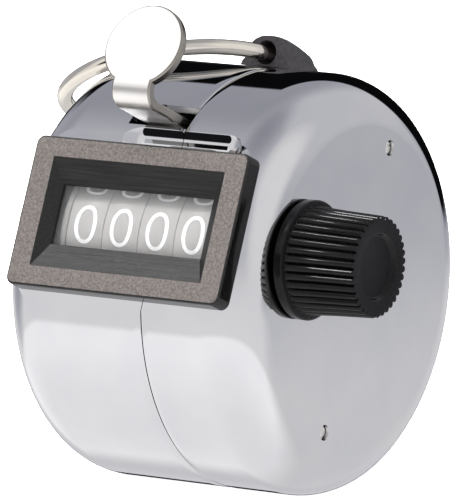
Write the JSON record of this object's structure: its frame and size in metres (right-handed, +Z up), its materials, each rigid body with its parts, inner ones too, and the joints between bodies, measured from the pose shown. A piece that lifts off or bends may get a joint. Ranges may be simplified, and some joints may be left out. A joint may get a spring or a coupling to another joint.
{
  "type": "hand tally counter",
  "caption": "Chromed round hand counter: number wheels behind a framed window, thumb lever on top, ribbed reset knob at the side and a swinging finger ring.",
  "frame": {"origin": "centre of the drum's flat left end face", "axes": "+X along the drum's axis towards the reset knob, +Y from the number window to the back, +Z up towards the thumb lever"},
  "size_m": [0.0496, 0.0466, 0.0532],
  "materials": {
    "chrome_shell": "polished",
    "black_bezel": "fine grain",
    "clear_window": "polished",
    "lever_nickel": "polished",
    "ring_nickel": "polished",
    "knob_plastic": "satin",
    "lug_plastic": "textured",
    "wheel_plastic": "satin, white numerals",
    "gear_brass": "machined",
    "turned_steel": "turned",
    "plate_steel": "zinc plated",
    "spring_steel": "drawn wire"
  },
  "bodies": {
    "housing": {"left_shell": "chrome_shell", "right_shell": "chrome_shell", "bezel": "black_bezel", "window_lens": "clear_window", "left_plate": "plate_steel", "right_plate": "plate_steel", "tie_rod_upper": "turned_steel", "tie_rod_lower": "turned_steel", "lever_pin": "turned_steel", "pinion_shaft": "turned_steel", "detent_post": "turned_steel", "detent_spring": "spring_steel", "return_spring": "spring_steel", "ring_lug": "lug_plastic", "lug_washer": "plate_steel"},
    "lever": {"thumb_lever": "lever_nickel", "lever_rocker": "plate_steel", "pawl_pin": "turned_steel"},
    "pawl": {"drive_pawl": "plate_steel"},
    "units": {"wheel_units": "wheel_plastic", "ratchet_wheel": "gear_brass"},
    "tens": {"wheel_tens": "wheel_plastic"},
    "hundreds": {"wheel_hundreds": "wheel_plastic"},
    "thousands": {"wheel_thousands": "wheel_plastic"},
    "pinion_a": {"transfer_pinion_a": "gear_brass"},
    "pinion_b": {"transfer_pinion_b": "gear_brass"},
    "pinion_c": {"transfer_pinion_c": "gear_brass"},
    "reset": {"wheel_shaft": "turned_steel", "reset_knob": "knob_plastic", "shaft_clip": "plate_steel", "wheel_end_disc": "wheel_plastic"},
    "ring": {"finger_ring": "ring_nickel"}
  },
  "joints": [
    {"name": "lever_press", "type": "hinge", "parent": "housing", "child": "lever", "pos_m": [0.0158, -0.0072, 0.0157], "axis": [-1, 0, 0], "range_deg": [0, 12], "stiffness_Nm_per_rad": 0.05, "springref_deg": -17.19, "deforming": ["return_spring"]},
    {"name": "pawl_swing", "type": "hinge", "parent": "lever", "child": "pawl", "pos_m": [0.02655, -0.0037, 0.0004], "axis": [-1, 0, 0], "range_deg": [-9, 1]},
    {"name": "units_spin", "type": "hinge", "parent": "housing", "child": "units", "pos_m": [0.02335, -0.0111, 0.00465], "axis": [-1, 0, 0], "continuous": true},
    {"name": "tens_spin", "type": "hinge", "parent": "housing", "child": "tens", "pos_m": [0.01885, -0.0111, 0.00465], "axis": [-1, 0, 0], "continuous": true},
    {"name": "hundreds_spin", "type": "hinge", "parent": "housing", "child": "hundreds", "pos_m": [0.01435, -0.0111, 0.00465], "axis": [-1, 0, 0], "continuous": true},
    {"name": "thousands_spin", "type": "hinge", "parent": "housing", "child": "thousands", "pos_m": [0.00985, -0.0111, 0.00465], "axis": [-1, 0, 0], "continuous": true},
    {"name": "pinion_a_spin", "type": "hinge", "parent": "housing", "child": "pinion_a", "pos_m": [0.0211, -0.00086, 0.00092], "axis": [-1, 0, 0], "continuous": true},
    {"name": "pinion_b_spin", "type": "hinge", "parent": "housing", "child": "pinion_b", "pos_m": [0.0166, -0.00086, 0.00092], "axis": [-1, 0, 0], "continuous": true},
    {"name": "pinion_c_spin", "type": "hinge", "parent": "housing", "child": "pinion_c", "pos_m": [0.0121, -0.00086, 0.00092], "axis": [-1, 0, 0], "continuous": true},
    {"name": "reset_spin", "type": "hinge", "parent": "housing", "child": "reset", "pos_m": [0.036, -0.0111, 0.00465], "axis": [1, 0, 0], "continuous": true},
    {"name": "ring_swing", "type": "hinge", "parent": "housing", "child": "ring", "pos_m": [0.0158, 0.00861, 0.02251], "axis": [0, 0.9397, -0.342], "range_deg": [0, 216]}
  ],
  "couplings": [
    {"joint": "pawl_swing", "follows": "lever_press", "ratio": -0.7},
    {"joint": "tens_spin", "follows": "units_spin", "ratio": 0.1},
    {"joint": "hundreds_spin", "follows": "units_spin", "ratio": 0.01},
    {"joint": "thousands_spin", "follows": "units_spin", "ratio": 0.001},
    {"joint": "pinion_a_spin", "follows": "units_spin", "ratio": -0.25},
    {"joint": "pinion_b_spin", "follows": "units_spin", "ratio": -0.025},
    {"joint": "pinion_c_spin", "follows": "units_spin", "ratio": -0.0025}
  ]
}
